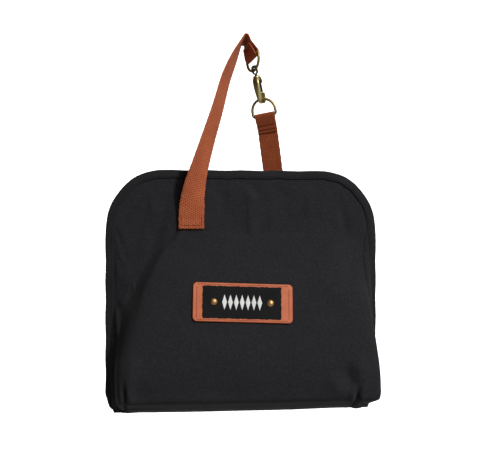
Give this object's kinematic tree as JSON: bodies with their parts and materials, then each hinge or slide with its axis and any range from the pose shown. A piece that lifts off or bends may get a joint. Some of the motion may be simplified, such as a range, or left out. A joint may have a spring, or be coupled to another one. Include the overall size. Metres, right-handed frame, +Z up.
{
  "type": "baby changing bag",
  "caption": "Soft black fabric changing bag with boxed front pocket, hinged padded rear cover, edge zip, leather label and a tan webbing handle with D-rings and swivel clasp.",
  "frame": {"origin": "underside of the handle's top fold, the point a peg or a finger carries the closed bag by", "axes": "+X to the right across the bag's front, +Y from the front face to the back cover, +Z up from the bottom fold to the handle's fold"},
  "size_m": [0.2718, 0.0646, 0.3735],
  "materials": {
    "outer_cloth": "matt woven polyester",
    "binding": "grosgrain tape",
    "lining": "smooth grey lining",
    "pad": "wipeable quilted pad",
    "stiffener": "foam board",
    "elastic": "ribbed elastic",
    "webbing": "tan woven cotton webbing",
    "leather": "smooth tan leather",
    "woven_label": "fine black damask weave",
    "zip_tape": "woven tape",
    "zip_coil": "moulded nylon coil",
    "antique_brass": "antique brass plate",
    "spring_steel": "thin spring leaf"
  },
  "bodies": {
    "front_half": {"front_panel": "outer_cloth", "front_lining": "lining", "front_binding": "binding", "front_zip_tape": "zip_tape", "front_zip_coil": "zip_coil", "inner_pocket": "lining", "pocket_elastic": "elastic", "bottom_gusset": "outer_cloth", "zip_end_tab_left": "outer_cloth", "zip_end_tab_right": "outer_cloth", "label_patch": "leather", "woven_label": "woven_label", "rivet_left": "antique_brass", "rivet_right": "antique_brass", "front_strap": "webbing"},
    "rear_cover": {"rear_panel": "outer_cloth", "rear_stiffener": "stiffener", "rear_lining": "lining", "rear_binding": "binding", "rear_zip_tape": "zip_tape", "rear_zip_coil": "zip_coil", "changing_pad": "pad", "rear_tab_foot": "webbing"},
    "rear_tab": {"rear_tab": "webbing"},
    "rear_ring": {"rear_ring": "antique_brass"},
    "upper_ring": {"upper_ring": "antique_brass"},
    "clasp_eye": {"clasp_eye": "antique_brass"},
    "clasp_body": {"clasp_body": "antique_brass", "gate_pin": "antique_brass", "gate_spring": "spring_steel"},
    "clasp_gate": {"clasp_gate": "antique_brass"},
    "zip_slider": {"zip_slider": "antique_brass"},
    "zip_puller": {"zip_puller": "antique_brass"}
  },
  "joints": [
    {"name": "rear_cover_hinge", "type": "hinge", "parent": "front_half", "child": "rear_cover", "pos_m": [-0.00268, -0.00045, -0.36793], "axis": [-1, 0, 0], "range_deg": [0, 170]},
    {"name": "rear_tab_hinge", "type": "hinge", "parent": "rear_cover", "child": "rear_tab", "pos_m": [0.03092, 0.01295, -0.12943], "axis": [-1, 0, 0], "range_deg": [0, 145]},
    {"name": "rear_ring_hinge", "type": "hinge", "parent": "rear_tab", "child": "rear_ring", "pos_m": [0.02112, 0.00355, -0.07513], "axis": [0.9272, -0.3371, 0.163], "range_deg": [-2, 2]},
    {"name": "upper_ring_hinge", "type": "hinge", "parent": "front_half", "child": "upper_ring", "pos_m": [0.00792, -0.00045, -0.01643], "axis": [0.3554, -0.881, 0.3123], "range_deg": [-1.5, 1.5]},
    {"name": "clasp_eye_swing", "type": "hinge", "parent": "upper_ring", "child": "clasp_eye", "pos_m": [0.00966, -0.00477, -0.03059], "axis": [-0.3554, 0.881, -0.3123], "range_deg": [-2, 2]},
    {"name": "clasp_swivel", "type": "hinge", "parent": "clasp_eye", "child": "clasp_body", "pos_m": [0.00966, -0.00477, -0.03059], "axis": [0.2746, 0.2506, -0.9283], "range_deg": [-15, 6]},
    {"name": "gate_hinge", "type": "hinge", "parent": "clasp_body", "child": "clasp_gate", "pos_m": [0.01518, 0.00302, -0.04042], "axis": [-0.8823, 0.4495, -0.1396], "range_deg": [0, 18], "stiffness_Nm_per_rad": 0.004, "springref_deg": -17.19},
    {"name": "zip_slide", "type": "slide", "parent": "front_half", "child": "zip_slider", "axis": [0, 0, 1], "range_m": [0, 0.12]},
    {"name": "puller_hinge", "type": "hinge", "parent": "zip_slider", "child": "zip_puller", "pos_m": [0.13232, -0.00045, -0.32933], "axis": [0, -1, 0], "range_deg": [0, 105]}
  ]
}
